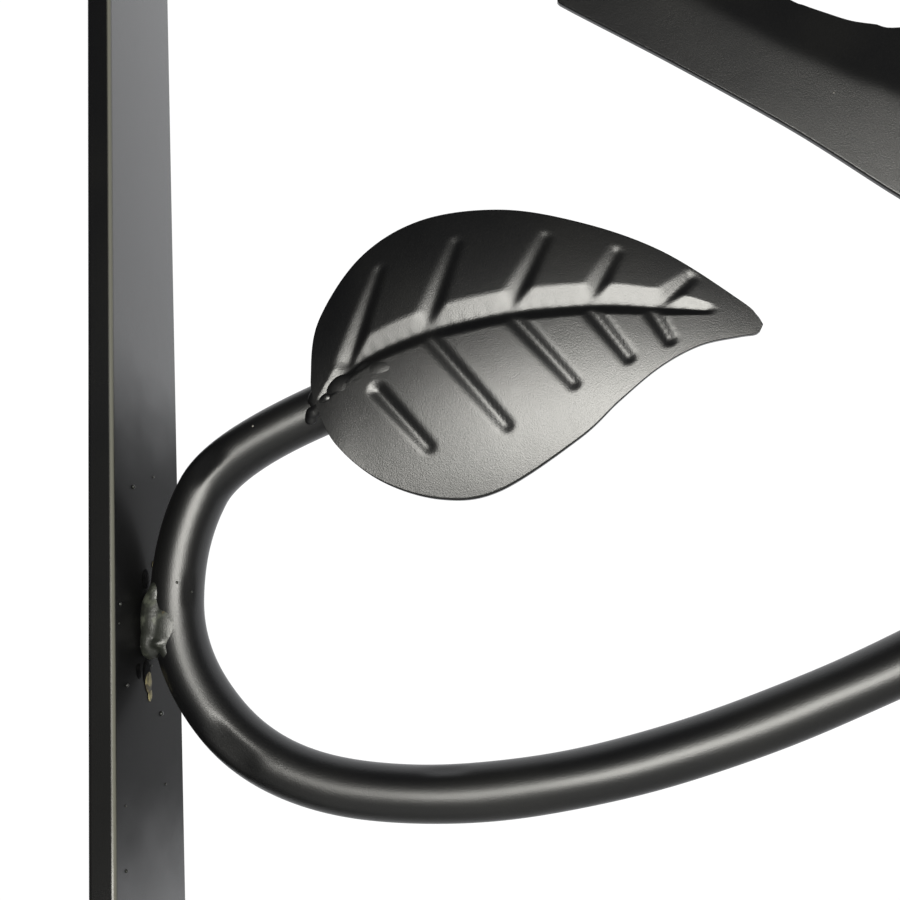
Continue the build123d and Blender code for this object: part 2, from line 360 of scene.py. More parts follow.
@dataclass(frozen=True)
class WeldMetal:
    """Rough weld metal under a thin coat, bare and browned in spots."""

    name: str
    coated: Colour = (0.010, 0.011, 0.009)
    bare: Colour = (0.048, 0.052, 0.040)
    burnt: Colour = (0.07, 0.052, 0.024)

    def material(self) -> bpy.types.Material:
        """Writes the weld metal as a material."""
        recipe = Recipe(bpy.data.materials.new(self.name))
        place = recipe.place()
        lumps = recipe.noise(place, 330.0, 3.0, 0.55)
        spots = recipe.noise(place * 1.7, 240.0, 2.0)
        grit = recipe.noise(place, 2400.0, 3.0, 0.65)
        worn = lumps.step(0.55, 0.72)
        brown = spots.step(0.66, 0.74)
        colour = recipe.mix(worn, self.coated, self.bare)
        colour = recipe.mix(brown * 0.6, colour, self.burnt)
        height = lumps * 0.8 + grit * 0.35
        return recipe.finish({
            "Base Color": colour,
            "Roughness": 0.36 + 0.08 * worn + 0.1 * grit,
            "Metallic": worn * 0.3,
            "IOR": 1.5,
            "Normal": recipe.bump(height, 0.00014),
        })


@dataclass(frozen=True)
class HeatStainAndShade:
    """Matt patch beside a weld: yellow-brown flux that the coat didn't cover; made black, it is painted
    shade above and below the bead.
    """

    name: str
    pale: Colour = (0.20, 0.175, 0.085)
    dark: Colour = (0.035, 0.027, 0.012)
    specular: float = 0.5

    def material(self) -> bpy.types.Material:
        """Writes the stain as a material."""
        recipe = Recipe(bpy.data.materials.new(self.name))
        place = recipe.place()
        patches = recipe.noise(place, 700.0, 3.0)
        grit = recipe.noise(place, 3000.0, 3.0, 0.6)
        colour = recipe.mix(patches.step(0.40, 0.62), self.dark, self.pale)
        return recipe.finish({
            "Base Color": colour,
            "Roughness": 0.5 + 0.3 * grit,
            "Specular IOR Level": self.specular,
            "Normal": recipe.bump(patches + grit * 0.5, 0.0002),
        })


@dataclass(frozen=True)
class PlatedSteel:
    """Black-plated fastener steel, rubbed lighter where it is handled."""

    name: str
    dark: Colour = (0.028, 0.029, 0.032)
    rubbed: Colour = (0.085, 0.083, 0.078)

    def material(self) -> bpy.types.Material:
        """Writes the plating as a material."""
        recipe = Recipe(bpy.data.materials.new(self.name))
        place = recipe.place()
        smear = recipe.noise(place, 300.0, 3.0)
        scratch = recipe.noise(place, 2600.0, 2.0, 0.7)
        worn = smear.step(0.55, 0.75)
        return recipe.finish({
            "Base Color": recipe.mix(worn, self.dark, self.rubbed),
            "Roughness": 0.38 + 0.14 * scratch,
            "Metallic": 0.55 + 0.3 * worn,
            "Normal": recipe.bump(scratch, 0.00004),
        })


@dataclass(frozen=True)
class PaleFloor:
    """Matt pale floor with a faint unevenness, fading out towards its rim."""

    name: str = "pale_floor"
    light: Colour = (0.62, 0.62, 0.61)
    shade: Colour = (0.58, 0.58, 0.57)
    fade_from: float = 0.8
    fade_to: float = 3.3

    def material(self) -> bpy.types.Material:
        """Writes the floor as a material."""
        recipe = Recipe(bpy.data.materials.new(self.name))
        place = recipe.place()
        cloud = recipe.noise(place, 3.0, 4.0)
        middle = recipe.node("ShaderNodeVectorMath", {"operation": "LENGTH"}, {0: place})
        shader = recipe.node("ShaderNodeBsdfPrincipled", {}, {
            "Base Color": recipe.mix(cloud, self.light, self.shade),
            "Roughness": 0.75,
            "Normal": recipe.bump(recipe.noise(place, 120.0, 3.0), 0.0004),
        })
        clear = recipe.node("ShaderNodeBsdfTransparent", {}, {})
        fade = recipe.output(middle, "Value").step(self.fade_from, self.fade_to)
        inputs = {0: fade, 1: recipe.output(shader), 2: recipe.output(clear)}
        both = recipe.node("ShaderNodeMixShader", {}, inputs)
        recipe.node("ShaderNodeOutputMaterial", {}, {"Surface": recipe.output(both)})
        return recipe.owner


class Shop:
    """The finishes, each made once."""

    def __init__(self) -> None:
        """Makes every material."""
        first, second = Layout().contacts()[:2]
        scorch_and_highlight = ScorchAndHighlight(first.height * MM, (second.height - first.height) * MM)
        self.bar = PowderCoat("bar_powder_coat", roughness=0.20, scorch_and_highlight=scorch_and_highlight).material()
        self.rod = PowderCoat("rod_powder_coat", roughness=0.335).material()
        self.sheet = PowderCoat("sheet_powder_coat", roughness=0.28).material()
        self.weld = WeldMetal("weld_metal").material()
        self.stain = HeatStainAndShade("weld_stain").material()
        # Black patches with almost no reflection: painted shade in the undercuts above and below each stile
        # bead.
        black = HeatStainAndShade("painted_undercut_shade", (0.004, 0.004, 0.004), (0.0015, 0.0015, 0.0018), specular=0.03)
        self.undercut_shade = black.material()
        self.fastener = PlatedSteel("black_plating").material()
        self.floor = PaleFloor().material()

    def for_slot(self, slot: str) -> bpy.types.Material:
        """The material that a record's slot takes."""
        chosen = {Slot.BAR: self.bar, Slot.ROD: self.rod, Slot.SHEET: self.sheet, Slot.WELD: self.weld}
        return chosen.get(Slot(slot), self.fastener)


# ---------- Mesh helpers ----------

@dataclass
class Shape:
    """Vertices in millimetres and the faces between them."""

    points: np.ndarray
    faces: list[tuple[int, ...]]

    def moved(self, change: Callable[[np.ndarray], np.ndarray]) -> "Shape":
        """The same faces over changed points."""
        return Shape(change(self.points), self.faces)


def joined(shapes: Iterable[Shape]) -> Shape:
    """Several shapes as one, their shells kept separate."""
    points: list[np.ndarray] = []
    faces: list[tuple[int, ...]] = []
    count = 0
    for shape in shapes:
        points.append(shape.points)
        faces.extend(tuple(index + count for index in face) for face in shape.faces)
        count += len(shape.points)
    return Shape(np.vstack(points), faces)


def in_scene(name: str, data: bpy.types.ID) -> bpy.types.Object:
    """A new object in the scene."""
    made = bpy.data.objects.new(name, data)
    bpy.context.scene.collection.objects.link(made)
    return made


def make_piece(name: str, shape: Shape, material: bpy.types.Material) -> bpy.types.Object:
    """Makes a smooth-shaded piece that rides with the arch.

    Args:
        name: The piece's name.
        shape: Its points in the arch's frame, in millimetres, and its faces.
        material: Its finish.

    Returns:
        The piece.
    """
    mesh = bpy.data.meshes.new(name)
    mesh.from_pydata((shape.points * MM).tolist(), [], shape.faces)
    shell = bmesh.new()
    shell.from_mesh(mesh)
    bmesh.ops.remove_doubles(shell, verts=shell.verts, dist=0.00001)
    bmesh.ops.recalc_face_normals(shell, faces=shell.faces)
    shell.to_mesh(mesh)
    shell.free()
    mesh.polygons.foreach_set("use_smooth", [True] * len(mesh.polygons))
    mesh.materials.append(material)
    piece = in_scene(name, mesh)
    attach(piece, "root")
    log.info("%s: %d faces", name, len(mesh.polygons))
    return piece


def smooth_line(corners: Sequence[Point], steps: int) -> np.ndarray:
    """Evenly spaced points on the smooth curve that touches the middle of each run between corners.

    Args:
        corners: The bending line's corners.
        steps: How many points to give.

    Returns:
        Points, one a row.
    """
    line = np.array(corners, float)
    joints = [line[0], *((line[1:-2] + line[2:-1]) / 2), line[-1]]
    t = np.linspace(0.0, 1.0, 40)[:, None]
    bows = [
        (1 - t) ** 2 * start + 2 * t * (1 - t) * corner + t * t * end
        for start, corner, end in zip(joints, line[1:-1], joints[1:])
    ]
    return evenly(np.vstack(bows), steps)


def evenly(line: np.ndarray, steps: int) -> np.ndarray:
    """Points spaced evenly by length along a line.

    Args:
        line: Points, one a row.
        steps: How many points to give.

    Returns:
        The new points, one a row.
    """
    lengths = np.r_[0.0, np.cumsum(np.linalg.norm(np.diff(line, axis=0), axis=1))]
    wanted = np.linspace(0.0, lengths[-1], steps)
    return np.stack([np.interp(wanted, lengths, line[:, k]) for k in range(line.shape[1])], axis=1)


def rounded_line(knots: Sequence[Point], steps: int) -> np.ndarray:
    """Evenly spaced points on a smooth curve through its knots.

    Args:
        knots: Points that the curve passes through.
        steps: How many points to give.

    Returns:
        Points, one a row.
    """
    line = np.array(knots, float)
    padded = np.vstack([2 * line[0] - line[1], line, 2 * line[-1] - line[-2]])
    t = np.linspace(0.0, 1.0, 24)[:, None]
    spans = []
    for a, b, c, d in zip(padded, padded[1:], padded[2:], padded[3:]):
        square, cube = 2 * a - 5 * b + 4 * c - d, 3 * b - 3 * c + d - a
        spans.append(0.5 * (2 * b + (c - a) * t + square * t**2 + cube * t**3))
    return evenly(np.vstack(spans), steps)


def tube(centres: np.ndarray, radii: np.ndarray) -> Shape:
    """Closed round tube.

    Args:
        centres: Centre of each ring, in three dimensions, on a line that never runs along the third axis.
        radii: Radius at each ring, a row, and at each of its sides.

    Returns:
        The tube with a flat cap at each end.
    """
    along = np.gradient(centres, axis=0)
    along /= np.linalg.norm(along, axis=1)[:, None]
    across = np.cross(along, (0.0, 0.0, 1.0))
    across /= np.linalg.norm(across, axis=1)[:, None]
    off = np.cross(across, along)
    turn = np.linspace(0.0, 2 * math.pi, radii.shape[1], endpoint=False)
    spokes = across[:, None, :] * np.cos(turn)[None, :, None] + off[:, None, :] * np.sin(turn)[None, :, None]
    points = centres[:, None, :] + spokes * radii[:, :, None]
    index = np.arange(radii.size).reshape(radii.shape)
    near, far = index[:-1], index[1:]
    corners = (near, np.roll(near, -1, axis=1), np.roll(far, -1, axis=1), far)
    faces = [tuple(face) for face in np.stack(corners, axis=-1).reshape(-1, 4).tolist()]
    faces += [tuple(index[0].tolist()), tuple(index[-1, ::-1].tolist())]
    return Shape(points.reshape(-1, 3), faces)


def egg(at: Sequence[float], radii: Sequence[float], rings: int = 12, sides: int = 20) -> Shape:
    """Closed egg shape.

    Args:
        at: Its middle.
        radii: Half sizes along its three axes.
        rings: Rows from pole to pole.
        sides: Points in a row.

    Returns:
        The egg.
    """
    points = [(0.0, 0.0, -1.0)]
    for row in range(1, rings):
        angle = math.pi * row / rings - math.pi / 2
        for side in range(sides):
            turn = 2 * math.pi * side / sides
            flat = math.cos(angle)
            points.append((flat * math.cos(turn), flat * math.sin(turn), math.sin(angle)))
    points.append((0.0, 0.0, 1.0))
    last = len(points) - 1
    faces: list[tuple[int, ...]] = []
    for side in range(sides):
        after = (side + 1) % sides
        faces.append((0, 1 + after, 1 + side))
        faces.append((last, last - sides + side, last - sides + after))
        for row in range(rings - 2):
            low, high = 1 + row * sides, 1 + (row + 1) * sides
            faces.append((low + side, low + after, high + after, high + side))
    return Shape(np.array(points) * np.array(radii) + np.array(at), faces)


def fused(shape: Shape, voxel: float, rounds: int) -> Shape:
    """Melts overlapping shells into one skin.

    Args:
        shape: Closed shells, in millimetres.
        voxel: Size of the remesh's cells, in millimetres.
        rounds: Smoothing passes afterwards.

    Returns:
        The melted skin.
    """
    mesh = bpy.data.meshes.new("melt")
    mesh.from_pydata(shape.points.tolist(), [], shape.faces)
    piece = in_scene("melt", mesh)
    melt = piece.modifiers.new("melt", "REMESH")
    melt.mode = "VOXEL"
    melt.voxel_size = voxel
    ease = piece.modifiers.new("ease", "SMOOTH")
    ease.iterations = rounds
    ease.factor = 0.5
    done = piece.evaluated_get(bpy.context.evaluated_depsgraph_get()).to_mesh()
    points = np.array([vertex.co[:] for vertex in done.vertices])
    faces = [tuple(face.vertices) for face in done.polygons]
    bpy.data.objects.remove(piece)
    bpy.data.meshes.remove(mesh)
    return Shape(points, faces)


# ---------- Places in the arch ----------

@dataclass(frozen=True)
class Contact:
    """Where a branch touches its stile, and how its panel's own directions lie in the arch."""

    number: int
    side: int
    end: int
    panel_x: float
    face_y: float
    height: float

    @property
    def side_name(self) -> str:
        """Left or right, as the nodes say."""
        return "left" if self.side < 0 else "right"

    def placed(self, points: np.ndarray) -> np.ndarray:
        """Turns panel places into places in the arch.

        Args:
            points: Rows of away from the stile, up from the contact and off the panel into the passage.

        Returns:
            Rows of X, Y and Z, in millimetres.
        """
        x = self.side * (self.panel_x - points[:, 2])
        y = self.end * (self.face_y - points[:, 0])
        return np.stack([x, y, self.height + points[:, 1]], axis=1)


def by_side(contacts: Sequence[Contact]) -> dict[str, list[Contact]]:
    """The contacts of the left and of the right panel."""
    return {side: [each for each in contacts if each.side_name == side] for side in ("left", "right")}


def at_each(contacts: Sequence[Contact], *shapes: Shape) -> Shape:
    """Shapes in panel places, repeated at each contact."""
    return joined(shape.moved(contact.placed) for contact in contacts for shape in shapes)


@dataclass(frozen=True)
class Layout:
    """Panel places read from the CAD pieces, in millimetres."""

    branches: int = 6
    first_share: float = 0.63
    end_pitches: float = 0.45

    def contacts(self) -> list[Contact]:
        """Every branch's contact, left side first, from the bottom up."""
        rail_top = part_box("left_bottom_rail")[1].z / MM
        rail_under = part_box("left_top_rail")[0].z / MM
        low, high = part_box("left_front_stile")
        panel_x = -(low.x + high.x) / 2 / MM
        face_y = -high.y / MM
        pitch = (rail_under - rail_top) / (self.branches + self.end_pitches)
        found = []
        for side in (-1, 1):
            for index in range(self.branches):
                height = rail_top + (self.first_share + index) * pitch
                end = -1 if index % 2 == 0 else 1
                found.append(Contact(index + 1, side, end, panel_x, face_y, height))
        return found


# ---------- Branches, leaves and birds ----------

@dataclass
class HookedBranch:
    """Rod bent cold round a former, so its hook is a little uneven and carries the bender's marks."""

    contact: Contact
    material: bpy.types.Material
    radius: float = 5.0
    ripple: float = 0.05
    rings: int = 300
    sides: int = 48
    bends: tuple[Point, ...] = (
        (45.5, 41.5), (16.5, 33.5), (6.0, 16.0), (5.0, -7.5), (22.5, -29.5), (58.5, -35.5), (102.5, -29.0),
        (156.0, -9.5), (195.0, 14.0),
    )
    junction: Point = (214.0, 48.0)
    press_marks: tuple[Four, ...] = (
        (0.108, 1.30, 0.012, 4.45), (0.185, 2.4, 0.010, 4.80),
        (0.284, 1.38, 0.017, 4.35), (0.41, 2.6, 0.012, 4.80),
    )

    def shape(self) -> Shape:
        """The rod in panel places; a press mark is its share of the length, angle, spread and reach."""
        line = smooth_line([*self.bends, self.junction], self.rings)
        centres = np.column_stack([line, np.zeros(len(line))])
        share = np.linspace(0.0, 1.0, self.rings)[:, None]
        turn = np.linspace(0.0, 2 * math.pi, self.sides, endpoint=False)[None, :]
        radii = np.full((self.rings, self.sides), self.radius)
        for at, angle, spread, reach in self.press_marks:
            flat_side = reach / np.cos(turn - angle).clip(0.05, 1.0)
            cut = (radii - flat_side).clip(0.0)
            radii -= cut * np.exp(-((share - at) / spread) ** 4)
        radii += self.ripple * np.sin(share * 61.0 + 2.0 * turn) * np.sin(share * 17.0)
        return tube(centres, radii)

    def build(self) -> None:
        """Makes the branch in place of its CAD node."""
        name = f"{self.contact.side_name}_branch_{self.contact.number}"
        piece = make_piece(f"{name}_rod", self.shape().moved(self.contact.placed), self.material)
        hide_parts(name)


@dataclass(frozen=True)
class Groove:
    """Pressed groove between two points of a leaf, with a flank of its own width on each side."""

    start: Point
    end: Point
    left: Point
    right: Point
    slope: float

    def depth_at(self, x: np.ndarray, y: np.ndarray) -> np.ndarray:
        """How deep the groove is at each point: a V with eased edges, its left flank at the given slope."""
        run = np.array(self.end) - np.array(self.start)
        share = ((x - self.start[0]) * run[0] + (y - self.start[1]) * run[1]) / (run @ run)
        share = share.clip(0.0, 1.0)
        aside_x, aside_y = x - self.start[0] - share * run[0], y - self.start[1] - share * run[1]
        far = np.hypot(aside_x, aside_y)
        turned = (run[0] * aside_y - run[1] * aside_x) / (np.hypot(*run) * far.clip(1e-6))
        on_left = (0.5 + 1.5 * turned).clip(0.0, 1.0)
        left = self.left[0] + share * (self.left[1] - self.left[0])
        right = self.right[0] + share * (self.right[1] - self.right[0])
        near = (1.0 - far / (right + on_left * (left - right))).clip(0.0, 1.0)
        eased = near * near * (3.0 - 2.0 * near)
        return self.slope * left * (0.6 * near + 0.4 * eased)


@dataclass
class PressedSheet:
    """Thin sheet cut to an outline and pressed to a form: the base of the leaves and birds."""

    contact: Contact
    material: bpy.types.Material
    thickness: float = 1.2
    crowding: float = 0.0175
    rows: int = 150
    columns: int = 100

    def edges(self) -> tuple[np.ndarray, np.ndarray]:
        """Lower and upper outline, each from the same end, as rows points."""
        raise NotImplementedError

    def lift(self, x: np.ndarray, y: np.ndarray, across: np.ndarray) -> np.ndarray:
        """Height of the sheet's hollow side off its lying plane."""
        raise NotImplementedError

    def shape(self) -> Shape:
        """The pressed sheet about its own origin; its columns crowd towards the edges and the middle."""
        lower, upper = self.edges()
        across = np.linspace(0.0, 1.0, self.columns)
        across = across - self.crowding * np.sin(4 * math.pi * across)
        grid = lower[:, None, :] + (upper - lower)[:, None, :] * across[None, :, None]
        x, y = grid[..., 0], grid[..., 1]
        back = self.lift(x, y, np.broadcast_to(across, x.shape))
        layers = [np.stack([x, y, z], axis=-1).reshape(-1, 3) for z in (back, back + self.thickness)]
        count = len(layers[0])
        index = np.arange(count).reshape(self.rows, self.columns)
        corners = (index[:-1, :-1], index[:-1, 1:], index[1:, 1:], index[1:, :-1])
        faces: list[tuple[int, ...]] = []
        for a, b, c, d in zip(*(corner.ravel().tolist() for corner in corners)):
            faces += [(a, b, c, d), (a + count, d + count, c + count, b + count)]
        rim = np.concatenate([index[:, 0], index[-1, 1:], index[-2::-1, -1], index[0, -2:0:-1]]).tolist()
        for here, after in zip(rim, rim[1:] + rim[:1]):
            faces.append((here, after, after + count, here + count))
        return Shape(np.vstack(layers), faces)

    def make(self, name: str, origin: Point) -> None:
        """Makes the sheet in place of its CAD node.

        Args:
            name: The node.
            origin: Where the sheet's own origin is in the panel, away from the stile and up.
        """
        offset = np.array([*origin, 0.0])
        shape = self.shape().moved(lambda points: self.contact.placed(points + offset))
        piece = make_piece(f"{name}_pressed", shape, self.material)
        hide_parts(name)


@dataclass
class PressedLeaf(PressedSheet):
    """Leaf pressed to a shallow dome, its midrib and side veins sunk into the face."""

    base: Point = (35.7, 38.6)
    long_radius: float = 350.0
    upper_radius: float = 115.0
    lower_radius: float = 142.0
    crown_at: float = 40.0
    base_height: float = 5.2
    upper: tuple[Point, ...] = (
        (0.0, 0.0), (-0.5, 4.5), (1.4, 16.0), (10.3, 27.8), (22.5, 33.6), (37.9, 33.4), (52.6, 28.6),
        (66.6, 21.2), (79.6, 10.2), (82.2, 7.2),
    )
    tip: Point = (83.1, 5.3)
    lower: tuple[Point, ...] = (
        (0.0, 0.0), (3.6, -8.6), (11.5, -16.2), (22.4, -20.6), (33.3, -20.1), (48.5, -12.2), (56.3, -6.2),
        (64.1, -0.8), (71.6, 2.5), (78.7, 3.5), (82.0, 3.8),
    )
    midrib: tuple[Point, ...] = (
        (1.8, 0.2), (9.5, 6.4), (22.0, 10.3), (38.0, 12.1), (54.0, 11.8), (65.0, 10.2), (73.5, 8.8),
    )
    upper_veins: tuple[tuple[Point, Point], ...] = (
        ((7.4, 6.4), (14.1, 24.2)), ((22.6, 11.4), (29.2, 27.5)), ((38.4, 12.9), (46.0, 26.2)),
        ((52.8, 12.4), (58.7, 21.6)), ((65.6, 10.6), (71.4, 15.2)),
    )
    lower_veins: tuple[tuple[Point, Point], ...] = (
        ((12.4, 0.4), (21.0, -11.0)), ((22.8, 9.4), (35.6, -8.6)), ((38.8, 11.0), (48.4, -2.2)),
        ((53.0, 10.6), (58.6, 1.5)), ((63.8, 9.4), (66.2, 4.0)),
    )
    midrib_above: tuple[float, ...] = (1.2, 3.7, 4.4, 4.4, 4.2, 3.6, 1.6)
    midrib_below: tuple[float, ...] = (0.8, 1.6, 1.8, 1.8, 1.8, 1.6, 0.9)
    midrib_runs: int = 30
    midrib_slope: float = 0.21
    blend: float = 0.12
    upper_vein: tuple[Point, Point] = ((3.2, 1.6), (1.9, 1.3))
    lower_vein: tuple[Point, Point] = ((2.0, 1.5), (2.0, 1.5))
    upper_slope: float = 0.24
    lower_slope: float = 0.32

    def grooves(self) -> list[Groove]:
        """The midrib's runs and every side vein."""
        line = rounded_line(self.midrib, self.midrib_runs + 1)
        knots = [x for x, _ in self.midrib]
        above = np.interp(line[:, 0], knots, self.midrib_above)
        below = np.interp(line[:, 0], knots, self.midrib_below)
        runs = zip(line, line[1:], zip(above, above[1:]), zip(below, below[1:]))
        ribs = [Groove(*run, self.midrib_slope) for run in runs]
        upper = [Groove(*vein, *self.upper_vein, self.upper_slope) for vein in self.upper_veins]
        lower = [Groove(*vein, *self.lower_vein, self.lower_slope) for vein in self.lower_veins]
        return ribs + upper + lower

    def edges(self) -> tuple[np.ndarray, np.ndarray]:
        """Lower and upper outline from the leaf's base to its tip."""
        lower = rounded_line([*self.lower, self.tip], self.rows)
        upper = rounded_line([*self.upper, self.tip], self.rows)
        return lower, upper

    def dome(self, x: np.ndarray, y: np.ndarray) -> np.ndarray:
        """Drop from the crown, slight along the leaf and more across it, from the midrib down each half."""
        rib = rounded_line([(-4.0, -2.5), *self.midrib, self.tip], 200)
        aside = y - np.interp(x, rib[:, 0], rib[:, 1])
        across = np.where(aside > 0.0, self.upper_radius, self.lower_radius)
        return -(x - self.crown_at) ** 2 / (2 * self.long_radius) - aside**2 / (2 * across)

    def lift(self, x: np.ndarray, y: np.ndarray, across: np.ndarray) -> np.ndarray:
        """The dome less the deepest groove at each point."""
        base_drop = float(self.dome(np.zeros(1), np.zeros(1))[0])
        deepest = np.zeros_like(x)
        for groove in self.grooves():
            here = groove.depth_at(x, y)
            deepest = self.blend * np.log(np.exp(deepest / self.blend) + np.exp(here / self.blend) - 1.0)
        return self.base_height + self.dome(x, y) - base_drop - deepest

    def build(self) -> None:
        """Makes the leaf."""
        self.make(f"{self.contact.side_name}_leaf_{self.contact.number}", self.base)


@dataclass
class PressedBird(PressedSheet):
    """Plain bird, tail up, on the stem's inner side: folded softly along its length, its breast domed."""

    level: str = "lower"
    perch: Point = (220.0, 56.0)
    rows: int = 180
    columns: int = 90
    back_height: float = 6.2
    fold: float = 0.57
    fold_height: float = 2.2
    lower_slope: float = 0.074
    upper_slope: float = 0.20
    fold_softness: float = 0.8
    breast: Point = (-23.0, 19.0)
    breast_reach: float = 33.0
    breast_height: float = 5.6
    upper: tuple[Point, ...] = (
        (-117.0, 75.0), (-90.0, 52.2), (-86.1, 49.3), (-81.8, 46.8), (-77.6, 44.6), (-73.3, 43.3),
        (-68.9, 42.1), (-49.0, 42.5), (-30.5, 48.5), (-14.0, 58.0), (2.0, 60.5), (15.0, 52.0), (24.0, 48.6),
        (32.0, 46.2),
    )
    beak: Point = (33.0, 45.6)
    lower: tuple[Point, ...] = (
        (-131.3, 59.0), (-131.0, 57.0), (-130.0, 55.6), (-111.0, 40.3), (-91.0, 23.4), (-74.4, 7.8),
        (-66.0, 1.4), (-51.0, -7.5), (-28.0, -14.3), (-5.0, -10.0), (12.5, 4.0), (18.4, 22.0), (16.8, 36.0),
        (22.0, 42.0), (31.0, 44.8),
    )

    def edges(self) -> tuple[np.ndarray, np.ndarray]:
        """Lower and upper outline from the tail's end to the beak."""
        lower = rounded_line([*self.lower, self.beak], self.rows)
        upper = rounded_line([*self.upper, self.beak], self.rows)
        return lower, upper

    def lift(self, x: np.ndarray, y: np.ndarray, across: np.ndarray) -> np.ndarray:
        """Two gentle slopes down from the fold, and the dome of the breast."""
        width = np.hypot(x[:, -1] - x[:, 0], y[:, -1] - y[:, 0])[:, None]
        aside = (across - self.fold) * width
        soft = self.fold_softness
        above = soft * np.log1p(np.exp(aside / soft))
        below = soft * np.log1p(np.exp(-aside / soft))
        far = np.hypot(x - self.breast[0], y - self.breast[1]) / self.breast_reach
        dome = self.breast_height * 0.5 * (1.0 + np.cos(math.pi * far.clip(0.0, 1.0)))
        drop = self.upper_slope * above + self.lower_slope * below
        return self.back_height + self.fold_height - drop + dome

    def build(self) -> None:
        """Makes the bird."""
        self.make(f"{self.contact.side_name}_{self.level}_bird", self.perch)


# ---------- Welds ----------

@dataclass
class WeldLumps:
    """Beads made by melting eggs together, lumpy along a run or smooth in a mound."""

    seed: int = 7
    voxel: float = 0.32

    def run(
        self, line: Sequence[Point3], girth: Sequence[float], lumps: int, rounds: int = 3, knobs: int = 4
    ) -> Shape:
        """A lumpy bead along a line.

        Args:
            line: Where it starts, passes and ends, in millimetres.
            girth: Half sizes of its eggs along the three axes.
            lumps: How many eggs it takes.
            rounds: How often its skin is smoothed.
            knobs: How many small knobs sit on it.

        Returns:
            The bead's skin.
        """
        draw = np.random.default_rng(self.seed + len(line) * 31 + lumps)
        middles = evenly(np.array(line, float), lumps)
        eggs = []
        for middle in middles:
            size = np.array(girth) * draw.uniform(0.78, 1.18, 3)
            jitter = draw.uniform(-0.14, 0.14, 3) * np.array(girth)
            eggs.append(egg(middle + jitter, size))
        for _ in range(knobs):
            size = np.array(girth) * draw.uniform(0.2, 0.4)
            at = middles[draw.integers(len(middles))] + draw.normal(0.0, 0.5, 3) * np.array(girth)
            eggs.append(egg(at, size, 8, 12))
        return fused(joined(eggs), self.voxel, rounds)

    def mound(self, eggs: Sequence[tuple[Point3, Point3]], rounds: int) -> Shape:
        """A smooth bead in one place.

        Args:
            eggs: Middle and half sizes of each egg that it is melted from.
            rounds: How often its skin is smoothed.

        Returns:
            The bead's skin.
        """
        return fused(joined(egg(at, size, 16, 28) for at, size in eggs), self.voxel, rounds)

    def ring(self, radius: float, girth: float) -> Shape:
        """A bead round a rod that stands on the XY plane."""
        turns = np.linspace(0.0, 2 * math.pi, 25)
        line = [(radius * math.cos(turn), radius * math.sin(turn), 0.6) for turn in turns]
        return self.run(line, (girth, girth, girth * 1.05), 22)


